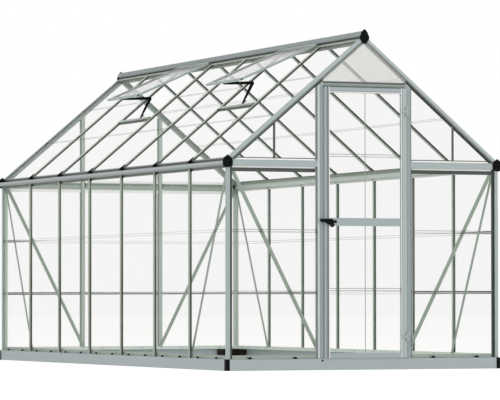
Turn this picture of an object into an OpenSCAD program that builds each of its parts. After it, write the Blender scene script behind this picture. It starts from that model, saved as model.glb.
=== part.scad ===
// Hobby greenhouse: extruded aluminium bars, clear polycarbonate sheets seated in their slots,
// a folded base, gutters, two roof vents on stays and a hinged door.
// +Z is up, +X to the right of someone facing the door, +Y from the door to the rear.
// The origin is on the ground, at the middle of the plan.

/* [House] */
// Width over the outer faces of the side walls
house_w = 1850; // [1700:10:2400]
// Length over the outer faces of the gables
house_l = 4260; // [3600:10:5400]
// Bays along a side wall
side_bays = 7; // [6:1:9]
// Height of the underside of the gutter
wall_top = 1254; // [1150:2:1500]
// Pitch of the roof, in degrees
roof_pitch = 40.05; // [36:0.05:44]
// Height of the roof's surface line over the gutter's underside, at the wall's outer face
eave_rise = 42; // [34:1:50]

/* [Base] */
// Height of the base rail
base_h = 70; // [50:1:90]
// Width of the base rail's flanges
base_d = 24; // [22:1:34]
// How far the base stands out of the walls
base_proud = 8; // [0:1:12]
// Wall of the base rail
base_t = 2; // [1:0.1:3]
// How far a corner piece wraps round each face
corner_wrap = 26; // [26:1:40]
// How far a corner piece stands out of the rails
corner_proud = 2; // [0:0.5:4]
// Length of a corner piece's tongue inside the rail
corner_tongue = 160; // [60:5:200]

/* [Extrusions] */
// Depth of every wall and roof bar
bar_d = 16; // [14:0.5:22]
// Wall of the extrusions
bar_t = 2; // [1.4:0.1:2.6]
// Width of a glazing bar's outer flange
bar_flange = 26; // [22:1:36]
// Width of a glazing bar's inner flange
bar_back = 16; // [12:1:24]
// Thickness of a glazing bar's web
web_t = 3; // [2:0.1:4]
// Leg of a corner post's outer face
corner_leg = 22; // [20:1:40]
// Leg of a rafter's outer face
rafter_leg = 28; // [22:1:40]
// Leg of a corner post's or rafter's inner face
corner_inner_leg = 41; // [34:1:50]
// Width of a rear gable post's outer flange
rear_post_w = 40; // [34:1:60]
// Height of the upright part of the wall track
track_h = 22; // [14:1:40]
// Radius of the half-round clips that hold the sheets down
clip_r = 15; // [10:1:20]
// Height of a clip
clip_h = 13; // [6:1:14]
// How far a clip stands out of the wall
clip_out = 6; // [2:1:8]
// Height of the flange that hangs from the gutter behind the studs
head_h = 16; // [12:1:40]
// Height of a gable rail
rail_h = 40; // [36:1:60]
// Height of a gable rail's top over the gutter's underside
rail_top_rise = 37; // [30:1:44]
// Drop of a gable rail's inner leg below its outer face
rail_drop = 33; // [16:1:40]
// Rise of a gable rail's inner leg over its outer face
rail_rise = 15; // [8:1:20]

/* [Sheets] */
// Thickness of a polycarbonate sheet
sheet_t = 2; // [1:0.1:3]
// Gap between a sheet and the slot that holds it
sheet_clear = 0.3; // [0.2:0.05:0.5]
// Radius of the shallow flutes in outer faces
flute_r = 1; // [0.6:0.1:1.4]
// Thickness of the lip behind a sheet
lip_t = 1.5; // [1:0.1:2]
// Height of the lower wall joint over the ground
joint_low = 479; // [350:1:600]
// Height of the upper wall joint over the ground
joint_high = 856; // [700:1:1050]
// Height of a clear joining strip
joiner_h = 18; // [12:1:30]
// Wall of a joining strip
joiner_t = 1; // [0.8:0.1:1.4]
// Distance of the roof's upper joint below the ridge, along the slope
roof_joint_high = 400; // [300:10:500]
// Distance of the roof's lower joint below the ridge, along the slope
roof_joint_low = 780; // [680:10:900]

/* [Gutter] */
// How far the gutter stands out of the wall
gutter_out = 25; // [20:1:40]
// How far the gutter's floor reaches in over the wall
gutter_in = 34; // [32:1:44]
// Distance of the gutter's back from the wall's outer face
gutter_wall = 20; // [20:1:30]
// Height of the gutter's front lip
gutter_lip = 27.5; // [20:0.5:50]
// Wall of the gutter
gutter_t = 2; // [1.4:0.1:3]
// Width of the moulded clip on a roof bar's foot
foot_cap_w = 21; // [14:1:26]
// Wall of that clip
foot_cap_t = 5; // [3:0.5:6]
// Reach of that clip up the slope, measured level
foot_cap_in = 13; // [8:1:20]
// Drop of that clip below the slope's line
foot_cap_drop = 26; // [14:1:28]
// How far the clips over the bars' feet stand out over the gutter
foot_cap_nose = 24; // [12:1:32]
// Thickness of the moulded end caps
cap_t = 6; // [4:0.5:10]
// How far a gutter cap's point stands over the eave
gutter_cap_over = 23; // [14:1:34]
// Outer radius of the rain outlet
outlet_r = 10.5; // [8:0.5:14]
// Wall of the rain outlet
outlet_t = 2; // [1.5:0.1:3]
// Length of the rain outlet beyond its cap
outlet_l = 28; // [20:1:40]

/* [Ridge] */
// Half width of the ridge tube
ridge_half = 24; // [20:1:32]
// Height of the ridge tube's shoulders over the roof's apex
ridge_shoulder = 21; // [16:1:30]
// Height of the ridge tube's peak over its shoulders
ridge_peak = 9; // [5:1:14]
// Height of the ridge tube's sides
ridge_side = 28; // [22:1:34]
// Depth of the groove under the ridge tube's sides
ridge_recess = 8; // [4:1:10]
// Distance from the middle to the edge of a ridge wing
ridge_wing = 42; // [38:1:56]
// Thickness of the ridge's hanging web
spine_t = 8; // [6:1:12]
// How far a ridge cap laps over the tube at each side
ridge_cap_lap = 8; // [6:1:16]
// Height of a ridge cap
ridge_cap_h = 88; // [80:1:100]
// How far a ridge cap's point stands over the ridge
ridge_cap_over = 8; // [4:1:12]

/* [Door] */
// Width of the door leaf
leaf_w = 556; // [500:2:700]
// Gap between the ends of the door's header and the rafters
header_clear = 16; // [6:1:40]
// Thickness of the door leaf
leaf_t = 22; // [18:1:26]
// How far the leaf's outer face stands out of the wall
leaf_proud = 18; // [16:1:22]
// Gap round the door leaf
door_gap = 5; // [5:0.5:8]
// Width of a door post's outer face
door_post_w = 35; // [30:1:50]
// Width of a door post's inner face
door_post_back = 45; // [38:1:60]
// Width of a door post's tube
post_core = 25; // [20:1:28]
// Reach of the stops behind the leaf, from the posts and the header
door_stop = 12; // [8:1:16]
// Width of the leaf's stiles and top rail
stile_w = 34; // [28:1:45]
// Height of the leaf's middle rail
mid_rail_h = 49; // [40:1:60]
// Height of the middle rail's underside over the ground
mid_rail_z = 889; // [820:1:1000]
// Height of the leaf's bottom rail
bottom_rail_h = 28; // [24:1:50]
// Height of the header over the door
header_h = 30; // [26:1:34]
// Radius of a hinge's knuckles
knuckle_r = 5; // [4:0.5:6]
// Radius of a hinge pin
pin_r = 2.5; // [2:0.1:3]
// Height of one hinge
hinge_h = 60; // [50:1:90]
// Height of the lower hinge's middle over the ground
hinge_low_z = 204; // [150:2:400]
// Height of the upper hinge's middle over the ground
hinge_high_z = 1604; // [1300:2:1640]

/* [Handle] */
// Height of the handle's spindle over the ground
handle_z = 915; // [910:1:920]
// Radius of the handle's spindle
spindle_r = 6; // [5:0.5:8]
// Length of the lever from the spindle to its tip
lever_l = 83; // [60:1:100]
// Height of the lever at its tip
lever_h = 10; // [8:1:14]
// Thickness of the lever
lever_t = 9; // [6:0.5:12]
// Height of the handle's body over the spindle
boss_r = 17; // [14:1:20]
// Radius of the thumb knob
knob_r = 8.5; // [6:0.5:10]
// Distance of the thumb knob from the spindle
knob_out = 22; // [18:1:26]
// Outer radius of the padlock ring
ring_r = 13; // [10:0.5:15]
// Radius of the padlock ring's hole
ring_hole = 5; // [4:0.5:6]
// Drop of the padlock ring below the spindle
ring_drop = 22; // [18:1:26]

/* [Roof vents] */
// Bay of the first vent, counted from the door
vent_bay_a = 1; // [0:1:2]
// Bay of the second vent, counted from the door
vent_bay_b = 4; // [3:1:5]
// Length of a vent down the slope
vent_l = 594; // [500:2:620]
// Angle of an open vent below the horizontal, in degrees
vent_angle = 24; // [18:0.5:28]
// Drop of a vent's hinge line below the roof's apex
vent_drop = 11; // [8:0.5:14]
// Width of a vent's frame bars
vent_bar = 24; // [18:1:32]
// Depth of a vent's frame bars
vent_d = 14; // [10:1:16]
// Width of a vent's sill across the slope
sill_w = 22; // [16:1:30]
// Distance of a sill's seat below the closed vent's edge
sill_gap = 0; // [0:1:16]
// How far a sill stands out of the roof
sill_proud = 6; // [3:1:10]
// Reach of the stay's bracket up the slope from the sill
stay_reach = 65; // [40:1:80]
// Height of a stay's elbow over its foot
stay_rise = 131; // [100:1:150]
// How far a stay's elbow lies inwards of its foot
stay_lean = 66; // [40:1:80]
// Width of a stay across the bay
stay_w = 12; // [8:1:20]

/* [Braces] */
// Width of a brace strip
brace_w = 24; // [12:1:30]
// Thickness of a brace strip
brace_t = 3; // [1.5:0.1:4]

/* [Hidden] */
$fn = 32;
alu = [0.68, 0.72, 0.73];
alu_green = [0.64, 0.70, 0.65];
clear = [0.93, 0.95, 0.95, 0.35];
black = [0.11, 0.12, 0.13];

half_w = house_w / 2;
half_l = house_l / 2;
tan_p = tan(roof_pitch);
cos_p = cos(roof_pitch);
sin_p = sin(roof_pitch);
eave_z = wall_top + eave_rise;
apex_z = eave_z + half_w * tan_p;
function roof_z(x, depth = 0) = apex_z - abs(x) * tan_p - depth / cos_p;

sheet_v = bar_t + sheet_clear;
sheet_back = sheet_v + sheet_t;
lip_v = sheet_back + sheet_clear;
slot_w = lip_v - bar_t;
frame_d = bar_d + bar_t;
edge_in = bar_d + sheet_clear;

bay_inset = 12.5;
bay = (house_l - 2 * bay_inset) / side_bays;
function bay_line(i) = -half_l + bay_inset + i * bay;
gable_bay = (house_w - 2 * bay_inset) / 3;
rear_post_x = gable_bay / 2;
rear_core = 10;

floor_z = base_h + base_t;
rail_top = wall_top + rail_top_rise;
rail_z = rail_top - rail_h;
rail_slot = 8;

opening_half = leaf_w / 2 + door_gap;
door_post_x = opening_half + door_post_w;
leaf_z = base_h + door_gap;
leaf_h = roof_z(opening_half, rafter_leg) - header_clear - header_h - door_gap - leaf_z;
leaf_top = leaf_z + leaf_h;
header_z = leaf_top + door_gap;
leaf_v = -leaf_proud;
hinge_x = opening_half - door_gap / 2;
hinge_v = leaf_v - knuckle_r - 1;
hinge_heights = [hinge_low_z, hinge_high_z];
handle_x = -leaf_w / 2 + stile_w + 12;

gutter_back = half_w - gutter_wall;
seat_l = 26;

vent_bays = [vent_bay_a, vent_bay_b];
vent_hinge = [-(ridge_half + sheet_clear + vent_d / 2 * sin(vent_angle)), 0, apex_z - vent_drop];
sill_s = (half_w + vent_hinge[0]) / cos_p - vent_l - sill_gap;

// Frames of the four walls: u runs along the wall, v inwards from its outer face, z up.
module front_wall() { translate([0, -half_l, 0]) children(); }
module rear_wall() { mirror([0, 1, 0]) front_wall() children(); }
module left_wall() { translate([-half_w, 0, 0]) mirror([1, -1, 0]) children(); }
module right_wall() { mirror([1, 0, 0]) left_wall() children(); }

// A (v, z) section carried along u.
module along_u(u, length) {
    translate([u, 0, 0]) rotate([90, 0, 90]) linear_extrude(length) children();
}
// An (x, z) section carried along y, about the middle.
module along_y(length) { rotate([90, 0, 0]) linear_extrude(length, center = true) children(); }

// Frame of the left slope: s runs up the slope from the wall line, w is y, p goes in from the surface.
module left_slope() {
    translate([-half_w, 0, eave_z]) rotate([0, -roof_pitch, 0]) mirror([0, 0, 1]) children();
}
// A (w, p) section carried up the slope.
module along_s(s, length) {
    translate([s, 0, 0]) rotate([90, 0, 90]) linear_extrude(length) children();
}
// Keeps what lies between the gutter's back and the ridge's web.
module roof_span(low) {
    intersection() {
        children();
        translate([-gutter_back, -half_l, low])
            cube([gutter_back - spine_t / 2, house_l, apex_z]);
    }
}

// An outline's right half, joined to its mirror image.
function both_sides(half) = concat(half, [for (i = [len(half) - 1:-1:0]) [-half[i][0], half[i][1]]]);
// Rectangle between two corners.
module rect(a, b) { translate(a) square(b - a); }
// A shallow flute in an outer face, at u.
module flute(u) { translate([u, 0]) circle(flute_r); }

// Glazing bar: outer flange, web, lips behind the sheets and inner flange.
module bar_section(flange, back, core) {
    difference() {
        union() {
            rect([-flange / 2, 0], [flange / 2, bar_t]);
            rect([-core / 2, 0], [core / 2, bar_d]);
            rect([-flange / 2 + bar_t, lip_v], [flange / 2 - bar_t, lip_v + lip_t]);
            rect([-back / 2, bar_d - bar_t], [back / 2, bar_d]);
        }
        for (side = [-1, 1]) flute(side * flange / 5);
    }
}

// Corner bar: a square tube with a slot for a sheet on each of its two faces.
module corner_section(leg) {
    difference() {
        union() {
            square(bar_d);
            corner_leg_section(leg);
            mirror([1, -1]) corner_leg_section(leg);
        }
        rect([bar_t, bar_t], [bar_d - bar_t, bar_d - bar_t]);
        flute(leg * 0.6);
        mirror([1, -1]) flute(leg * 0.6);
    }
}
module corner_leg_section(leg) {
    square([leg, bar_t]);
    rect([bar_d - bar_t, lip_v], [leg, lip_v + lip_t]);
    rect([bar_d - bar_t, bar_d - bar_t], [corner_inner_leg, bar_d]);
}

// Base rail: a channel folded from sheet, open to the inside.
module base_section() {
    translate([-base_proud, 0]) difference() {
        square([base_d, base_h]);
        rect([base_t, base_t], [base_d + 1, base_h - base_t]);
    }
}
corner_out = base_proud + corner_proud;
rail_in = max(corner_wrap - corner_out, base_d - base_proud);
module base_rail(length) {
    color(alu) along_u(-length / 2 + rail_in, length - 2 * rail_in) base_section();
}
module base_rail_left() { left_wall() base_rail(house_l); }
module base_rail_right() { right_wall() base_rail(house_l); }
module base_rail_front() { front_wall() base_rail(house_w); }
module base_rail_rear() { rear_wall() base_rail(house_w); }

// Moulded corner pieces, their tongues inside the rails.
module base_corner() {
    foot = base_t + sheet_clear;
    face = foot - base_proud;
    tongue_in = base_d - base_proud - base_t;
    translate([-half_w, -half_l, 0]) {
        linear_extrude(base_h) rect([-corner_out, -corner_out], [rail_in, rail_in]);
        translate([0, 0, foot]) linear_extrude(base_h - 2 * foot) {
            rect([face, face], [corner_tongue, tongue_in]);
            rect([face, face], [tongue_in, corner_tongue]);
        }
    }
}
module base_corners() {
    color(black) for (mx = [0, 1], my = [0, 1])
        mirror([mx, 0, 0]) mirror([0, my, 0]) base_corner();
}

// Wall track: a floor that the sheets and studs stand on, and an upright behind them.
module track(u, length, floor_u, floor_length) {
    along_u(floor_u, floor_length) rect([0, base_h], [frame_d, floor_z]);
    along_u(u, length) rect([bar_d, base_h], [frame_d, floor_z + track_h]);
}
module side_track() {
    color(alu_green) track(-half_l + bar_d, house_l - 2 * bar_d, -half_l, house_l);
}
module wall_track_left() { left_wall() side_track(); }
module wall_track_right() { right_wall() side_track(); }
module wall_track_front() {
    length = half_w - frame_d - opening_half;
    color(alu_green) front_wall() for (u = [-half_w + frame_d, opening_half])
        track(u, length, u, length);
}
module wall_track_rear() {
    length = house_w - 2 * frame_d;
    color(alu_green) rear_wall() track(-length / 2, length, -length / 2, length);
}

// Half-round clips on the base's ledge and the track's front edge, two to a bay.
module clip_outline(low) {
    intersection() {
        translate([0, clip_h - clip_r]) circle(clip_r);
        rect([-clip_r, low], [clip_r, clip_h]);
    }
}
module clip(u) {
    translate([u, 0, base_h]) rotate([90, 0, 0]) linear_extrude(clip_out) clip_outline(0);
    translate([u, bar_t, base_h]) rotate([90, 0, 0]) linear_extrude(bar_t) clip_outline(base_t);
}
module track_clips() {
    shares = [0.25, 0.75];
    color(black) {
        for (mx = [0, 1]) mirror([mx, 0, 0]) left_wall()
            for (i = [0:side_bays - 1], share = shares) clip(bay_line(i) + share * bay);
        for (mx = [0, 1], share = shares) mirror([mx, 0, 0])
            front_wall() clip(door_post_x + share * (half_w - door_post_x));
        for (k = [-1, 0, 1], share = shares)
            rear_wall() clip((k - 0.5 + share) * gable_bay);
    }
}

module corner_posts() {
    color(alu) for (mx = [0, 1], my = [0, 1])
        mirror([mx, 0, 0]) mirror([0, my, 0]) translate([-half_w, -half_l, floor_z])
            linear_extrude(wall_top - floor_z) corner_section(corner_leg);
}

module side_studs() {
    color(alu) for (i = [1:side_bays - 1]) translate([bay_line(i), 0, floor_z])
        linear_extrude(wall_top - floor_z) bar_section(bar_flange, bar_back, web_t);
}
module studs_left() { left_wall() side_studs(); }
module studs_right() { right_wall() side_studs(); }

// The space under a gable's rafters, for posts and sheets that end on the slope.
module under_rafters(depth, low, high) {
    reach = apex_z - depth / cos_p;
    intersection() {
        polygon([[-half_w, reach - half_w * tan_p], [0, reach], [half_w, reach - half_w * tan_p]]);
        rect([-half_w, low], [half_w, high]);
    }
}
// Cuts a full-height gable post off under the rafters.
module post_cut() {
    intersection() {
        translate([0, 0, floor_z]) linear_extrude(apex_z) children();
        translate([0, frame_d, 0]) rotate([90, 0, 0]) linear_extrude(frame_d) union() {
            rect([-half_w, 0], [half_w, wall_top]);
            under_rafters(corner_inner_leg, wall_top - base_h, apex_z);
        }
    }
}
module rear_posts() {
    color(alu) rear_wall() for (side = [-1, 1])
        post_cut() translate([side * rear_post_x, 0])
            bar_section(rear_post_w, rear_core * 2.4, rear_core * 2);
}

// Door post: a tube beside the doorway, with a slot for the wall's sheet on its far side.
module door_post_section() {
    difference() {
        union() {
            rect([opening_half, 0], [opening_half + post_core, bar_d]);
            rect([opening_half, 0], [door_post_x, bar_t]);
            rect([opening_half, lip_v], [door_post_x, lip_v + lip_t]);
            rect([opening_half - door_stop, bar_d - bar_t], [opening_half + door_post_back, bar_d]);
        }
        rect([opening_half + bar_t, bar_t], [opening_half + post_core - bar_t, bar_d - bar_t]);
        for (share = [0.35, 0.65]) flute(opening_half + share * post_core);
    }
}
module door_posts() {
    color(alu) front_wall() for (side = [0, 1])
        post_cut() mirror([side, 0]) door_post_section();
}
module door_header() {
    depth = bar_d - bar_t - sheet_clear;
    top = header_z + header_h;
    color(alu) front_wall() along_u(-opening_half, 2 * opening_half) difference() {
        union() {
            rect([0, header_z], [depth, top]);
            rect([depth - bar_t, header_z - door_stop], [depth, top]);
        }
        rect([bar_t, header_z + bar_t], [depth - bar_t, top - rail_slot - bar_t]);
        rect([bar_t, top - rail_slot], [lip_v, top + 1]);
    }
}

// Gable rail: a tube with a slot above and below, for the sheets over and under it.
module rail_section() {
    difference() {
        rect([0, rail_z], [frame_d, rail_top]);
        rect([bar_t, rail_z + rail_slot + bar_t], [frame_d - bar_t, rail_top - rail_slot - bar_t]);
        for (edge = [rail_z - 1, rail_top - rail_slot])
            rect([bar_t, edge], [lip_v, edge + rail_slot + 1]);
        rect([lip_v + lip_t, rail_z - 1], [bar_d, rail_z + rail_slot]);
    }
}
module gable_rail(from, to) {
    along_u(from, to - from) {
        rail_section();
        rect([bar_d, rail_z - rail_drop], [frame_d, rail_top]);
    }
    translate([0, frame_d, 0]) rotate([90, 0, 0]) linear_extrude(bar_t) intersection() {
        rect([from, rail_top - bar_t], [to, rail_top + rail_rise]);
        under_rafters(corner_inner_leg, wall_top, apex_z);
    }
}
rail_start = half_w - corner_inner_leg;
module gable_rail_front() {
    lap = opening_half + door_post_back + sheet_clear - door_post_x;
    color(alu) front_wall() for (mx = [0, 1]) mirror([mx, 0, 0]) difference() {
        gable_rail(door_post_x, rail_start);
        translate([door_post_x - 1, bar_d - bar_t - sheet_clear, rail_z - 1])
            cube([lap + 1, bar_t + sheet_clear, rail_h + 2]);
    }
}
module gable_rail_rear() {
    outer = rear_post_x + rear_post_w / 2;
    color(alu) rear_wall() {
        gable_rail(-rear_post_x + rear_post_w / 2, rear_post_x - rear_post_w / 2);
        for (mx = [0, 1]) mirror([mx, 0, 0]) gable_rail(outer, rail_start);
    }
}

cap_back = half_w - gutter_in;
// Gutter: an open trough with a seat for the roof bars and a flange behind the studs.
module gutter_trough() {
    out = -half_w - gutter_out;
    back_top = roof_z(gutter_back + gutter_t, lip_v);
    rect([out, wall_top], [out + gutter_t, wall_top + gutter_lip]);
    rect([out, wall_top + gutter_lip - gutter_t], [out + 3 * gutter_t, wall_top + gutter_lip]);
    rect([out, wall_top], [-cap_back, wall_top + gutter_t]);
    rect([-gutter_back - gutter_t, wall_top], [-gutter_back, back_top]);
}
module gutter_seat() {
    start = gutter_back + gutter_t;
    end = gutter_back - seat_l * cos_p;
    polygon([[-start, roof_z(start, bar_d)], [-end, roof_z(end, bar_d)],
             [-end, roof_z(end, bar_d + gutter_t)], [-start, roof_z(start, bar_d + gutter_t)]]);
}
module gutter_left() {
    color(alu) union() {
        along_y(house_l) gutter_trough();
        along_y(house_l - 2 * corner_inner_leg - 1) gutter_seat();
        along_y(house_l - 2 * bar_d)
            rect([-half_w + bar_d, wall_top - head_h], [-half_w + frame_d, wall_top + gutter_t]);
    }
}
module gutter_right() { mirror([1, 0, 0]) gutter_left(); }

// Moulded caps that close the gutters' ends.
module gutter_cap_outline() {
    out = -half_w - gutter_out;
    polygon([[out, wall_top - 2], [out + 8, wall_top - 9], [-half_w, wall_top - 14],
             [-cap_back - 8, wall_top - 9], [-cap_back + 2, wall_top - 2],
             [-cap_back + 5, wall_top + 30], [-cap_back - 4, wall_top + 47],
             [-half_w + 6, eave_z + gutter_cap_over], [out + 4, eave_z + 4],
             [out - 2, wall_top + 24]]);
}
module gutter_end_caps() {
    color(black) for (mx = [0, 1], my = [0, 1]) mirror([mx, 0, 0]) mirror([0, my, 0])
        translate([0, -half_l - cap_t / 2, 0]) along_y(cap_t) gutter_cap_outline();
}
// Rain outlet: a spigot on the outside of the front right gutter, for a pipe or hose.
outlet_z = wall_top + gutter_lip * 0.64;
outlet_rim = 3;
outlet_y = -half_l + outlet_r + outlet_rim + sheet_clear;
module rain_outlet() {
    start = half_w + gutter_out;
    flange = outlet_rim;
    color(black) translate([start, outlet_y, outlet_z]) rotate([0, 90, 0]) difference() {
        union() {
            cylinder(r = outlet_r + flange, h = flange);
            cylinder(r = outlet_r, h = outlet_l + flange, $fn = 48);
        }
        translate([0, 0, flange / 2]) cylinder(r = outlet_r - outlet_t, h = outlet_l + flange, $fn = 48);
    }
}

// Rafters: corner bars laid on the slope, between the rail or gutter and the ridge.
module left_rafter() {
    roof_span(rail_top) left_slope() along_s(0, half_w / cos_p + bar_d)
        translate([-half_l, 0]) corner_section(rafter_leg);
}
module rafters_front() {
    color(alu) for (mx = [0, 1]) mirror([mx, 0, 0]) left_rafter();
}
module rafters_rear() { mirror([0, 1, 0]) rafters_front(); }

module roof_bars_left() {
    color(alu) roof_span(wall_top) left_slope() along_s(0, half_w / cos_p + bar_d)
        for (i = [1:side_bays - 1]) translate([bay_line(i), 0])
            bar_section(bar_flange, bar_back, web_t);
}
module roof_bars_right() { mirror([1, 0, 0]) roof_bars_left(); }

// Moulded clips over the feet of the roof bars.
module bar_end_caps() {
    foot = gutter_back + gutter_t + sheet_clear;
    top = roof_z(foot);
    wall = foot_cap_t;
    low = top - foot_cap_drop;
    color(black) for (mx = [0, 1], i = [1:side_bays - 1]) mirror([mx, 0, 0])
        translate([0, bay_line(i), 0]) along_y(foot_cap_w)
            polygon([[-foot - foot_cap_nose, low + wall], [-foot - foot_cap_nose + wall, low],
                     [-foot, low], [-foot, top], [foot_cap_in - foot, roof_z(foot - foot_cap_in)],
                     [foot_cap_in - foot, roof_z(foot - foot_cap_in) + wall],
                     [-foot, top + wall], [2 * wall - foot - foot_cap_nose, low + foot_cap_drop * 0.8],
                     [-foot - foot_cap_nose, low + foot_cap_drop / 2]]);
}

// Ridge: a fluted tube, a groove below it, wings that lie on the bars and a web between them.
module ridge_beam() {
    inner = ridge_half - bar_t;
    neck = ridge_half - ridge_recess;
    wall_z = bar_t / cos_p;
    shoulder = apex_z + ridge_shoulder;
    low = shoulder - ridge_side;
    floor_x = (apex_z + wall_z - low - bar_t) / tan_p;
    web = spine_t / 2;
    outer = [[web, apex_z - corner_inner_leg / cos_p], [web, roof_z(web)],
             [ridge_wing, roof_z(ridge_wing)], [ridge_wing, roof_z(ridge_wing) + wall_z],
             [neck, roof_z(neck) + wall_z], [neck, low], [ridge_half, low],
             [ridge_half, shoulder], [0, shoulder + ridge_peak]];
    chamber = [[0, apex_z + wall_z], [floor_x, low + bar_t], [inner, low + bar_t],
               [inner, shoulder - bar_t / 2], [0, shoulder + ridge_peak - bar_t]];
    color(alu) along_y(house_l) difference() {
        polygon(both_sides(outer));
        polygon(both_sides(chamber));
        for (side = [-1, 1], share = [0.3, 0.65])
            translate([side * ridge_half, low + share * ridge_side]) circle(flute_r);
    }
}
// A leaf that is widest below its middle and ends blunt.
module ridge_cap_outline() {
    half = ridge_half + ridge_cap_lap;
    low = apex_z + ridge_shoulder + ridge_peak + ridge_cap_over - ridge_cap_h;
    shares = [[0, 1], [0.28, 0.943], [0.6, 0.75], [0.97, 0.477], [1, 0.34],
              [0.69, 0.17], [0.44, 0.045], [0.12, 0]];
    polygon(both_sides([for (p = shares) [p[0] * half, low + p[1] * ridge_cap_h]]));
}
module ridge_end_caps() {
    color(black) for (side = [-1, 1]) translate([0, side * (half_l + cap_t / 2), 0])
        along_y(cap_t) ridge_cap_outline();
}

// Braces: flat strips with round ends, bolted inside the walls.
module brace(from, to) {
    run = to - from;
    turn = atan2(run[1], run[0]);
    function rim(end, a) = end + brace_w / 2 * [cos(turn + a), sin(turn + a)];
    translate([0, frame_d + brace_t, 0]) rotate([90, 0, 0]) linear_extrude(brace_t)
        polygon(concat([for (a = [90:15:270]) rim(from, a)], [for (a = [-90:15:90]) rim(to, a)]));
}
brace_top = wall_top - head_h * 0.75;
brace_foot = floor_z + track_h;
brace_in = frame_d + 2 * brace_t + brace_w / 2;
module side_braces() {
    color(alu_green) for (mu = [0, 1]) mirror([mu, 0, 0])
        brace([-half_l + brace_in, brace_top], [bay_line(1), brace_foot]);
}
module braces_left() { left_wall() side_braces(); }
module braces_right() { right_wall() side_braces(); }
module gable_braces(foot_x) {
    color(alu_green) for (mu = [0, 1]) mirror([mu, 0, 0])
        brace([-half_w + brace_in, brace_top], [-foot_x, brace_foot]);
}
module braces_front() { front_wall() gable_braces(opening_half + brace_w / 2); }
module braces_rear() { rear_wall() gable_braces(rear_post_x); }

// Sheets: u from, u to and a list of joint heights between the foot and the head.
module sheet_stack(from, to, foot, joints, head) {
    levels = concat([foot - joiner_t], joints, [head + joiner_t]);
    for (k = [0:len(levels) - 2])
        along_u(from, to - from)
            rect([sheet_v, levels[k] + joiner_t], [sheet_back, levels[k + 1] - joiner_t]);
}
wall_joints = [joint_low, joint_high];
function side_from(i) = i == 0 ? -half_l + edge_in : bay_line(i) + web_t / 2 + sheet_clear;
function side_to(i) = i == side_bays - 1 ? half_l - edge_in : bay_line(i + 1) - web_t / 2 - sheet_clear;
module side_sheets() {
    color(clear) for (i = [0:side_bays - 1])
        sheet_stack(side_from(i), side_to(i), floor_z, wall_joints, wall_top);
}
module wall_panels_left() { left_wall() side_sheets(); }
module wall_panels_right() { right_wall() side_sheets(); }

gable_head = min(rail_z + rail_slot, wall_top) - sheet_clear;
front_from = opening_half + post_core + sheet_clear;
gable_to = half_w - edge_in;
rear_from = rear_post_x + rear_core + sheet_clear;
module wall_panels_front() {
    color(clear) front_wall() for (mx = [0, 1]) mirror([mx, 0, 0])
        sheet_stack(front_from, gable_to, floor_z, wall_joints, gable_head);
}
module wall_panels_rear() {
    mid = rear_post_x - rear_core - sheet_clear;
    color(clear) rear_wall() {
        sheet_stack(-mid, mid, floor_z, wall_joints, gable_head);
        for (mx = [0, 1]) mirror([mx, 0, 0])
            sheet_stack(rear_from, gable_to, floor_z, wall_joints, gable_head);
    }
}

// Gable sheets: cut to the slope, their edges in the rafters' slots.
module gable_sheet(from, to, low) {
    translate([0, sheet_back, 0]) rotate([90, 0, 0]) linear_extrude(sheet_t) intersection() {
        under_rafters(edge_in, low, apex_z);
        rect([from, 0], [to, apex_z - corner_inner_leg / cos_p]);
    }
}
gable_low = rail_top - rail_slot + sheet_clear;
module gable_panels_front() {
    color(clear) front_wall() {
        gable_sheet(-opening_half + 1, opening_half - 1, header_z + header_h - rail_slot + sheet_clear);
        for (mx = [0, 1]) mirror([mx, 0, 0]) gable_sheet(front_from, rail_start - 1, gable_low);
    }
}
module gable_panels_rear() {
    mid = rear_post_x - rear_core - sheet_clear;
    color(clear) rear_wall() {
        gable_sheet(-mid, mid, gable_low);
        for (mx = [0, 1]) mirror([mx, 0, 0]) gable_sheet(rear_from, rail_start - 1, gable_low);
    }
}

// Roof sheets, in slope coordinates; a vent's bay ends at its sill.
roof_top_s = (half_w - spine_t / 2) / cos_p - bar_t * tan_p;
roof_low_s = (half_w - gutter_back - gutter_t) / cos_p;
roof_joints = [half_w / cos_p - roof_joint_low, half_w / cos_p - roof_joint_high];
module roof_stack(i, joints, head) {
    levels = concat([roof_low_s - joiner_t], joints, [head + joiner_t]);
    for (k = [0:len(levels) - 2])
        translate([levels[k] + joiner_t, side_from(i), sheet_v])
            cube([levels[k + 1] - levels[k] - 2 * joiner_t, side_to(i) - side_from(i), sheet_t]);
}
function has_vent(i) = len(search(i, vent_bays)) > 0;
module roof_panels_left() {
    color(clear) left_slope() for (i = [0:side_bays - 1])
        if (has_vent(i)) roof_stack(i, [roof_joints[0]], sill_s);
        else roof_stack(i, roof_joints, roof_top_s - 8);
}
module roof_panels_right() {
    color(clear) mirror([1, 0, 0]) left_slope() for (i = [0:side_bays - 1])
        roof_stack(i, roof_joints, roof_top_s - 8);
}

// Joining strips: an H section over the edges of the two sheets that meet in it.
module joiner_section() {
    difference() {
        rect([sheet_v - sheet_clear / 2 - joiner_t, -joiner_h / 2],
             [sheet_back + sheet_clear / 2 + joiner_t, joiner_h / 2]);
        for (side = [0, 1]) mirror([0, side])
            rect([sheet_v - sheet_clear / 2, joiner_t - sheet_clear / 2],
                 [sheet_back + sheet_clear / 2, joiner_h]);
    }
}
module joiners(from, to) {
    for (z = wall_joints) translate([0, 0, z]) along_u(from, to - from) joiner_section();
}
flange_edge = bar_flange / 2 + sheet_clear;
function strip_from(i, leg) = i == 0 ? -half_l + leg + sheet_clear : bay_line(i) + flange_edge;
function strip_to(i, leg) =
    i == side_bays - 1 ? half_l - leg - sheet_clear : bay_line(i + 1) - flange_edge;
module wall_joiners_side() {
    color(clear) for (mx = [0, 1]) mirror([mx, 0, 0]) left_wall()
        for (i = [0:side_bays - 1]) joiners(strip_from(i, corner_leg), strip_to(i, corner_leg));
}
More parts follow.
